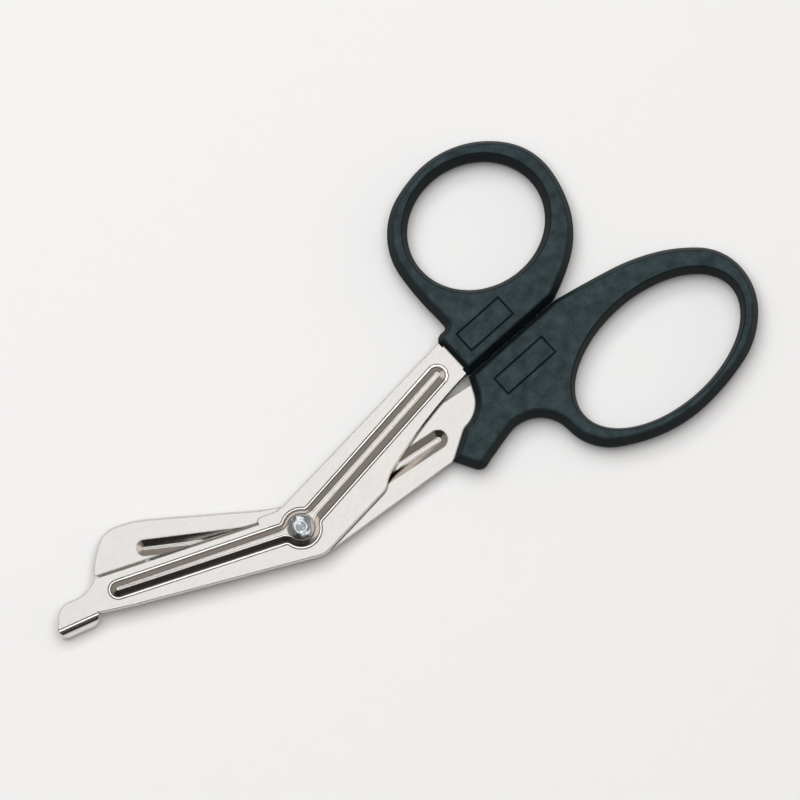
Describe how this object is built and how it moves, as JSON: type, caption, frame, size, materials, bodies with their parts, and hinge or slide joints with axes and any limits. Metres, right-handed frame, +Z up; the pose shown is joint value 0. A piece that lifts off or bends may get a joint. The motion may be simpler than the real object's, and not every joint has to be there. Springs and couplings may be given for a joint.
{
  "type": "bandage scissors",
  "caption": "Bent bandage scissors with ribbed pressed blades, a blunt turned foot and plastic finger loops, for cutting dressings and clothing off skin.",
  "frame": {"origin": "centre of the underside of the bounding box, with the scissors lying on their back and the jaws shut", "axes": "+X along the line where the handles meet, from the rivet to the loops; +Y to the thumb loop's side; +Z up, out of the front"},
  "size_m": [0.1865, 0.0918, 0.008],
  "materials": {
    "blade_steel": "polished stainless sheet",
    "rivet_steel": "polished",
    "handle_plastic": "satin moulded"
  },
  "bodies": {
    "finger_half": {"rear_blade": "blade_steel", "finger_handle": "handle_plastic", "pivot_rivet": "rivet_steel"},
    "thumb_half": {"front_blade": "blade_steel", "thumb_handle": "handle_plastic"}
  },
  "joints": [
    {"name": "pivot", "type": "hinge", "parent": "finger_half", "child": "thumb_half", "pos_m": [-0.0317, -0.0019, 0.004], "axis": [0, 0, 1], "range_deg": [0, 80]}
  ]
}
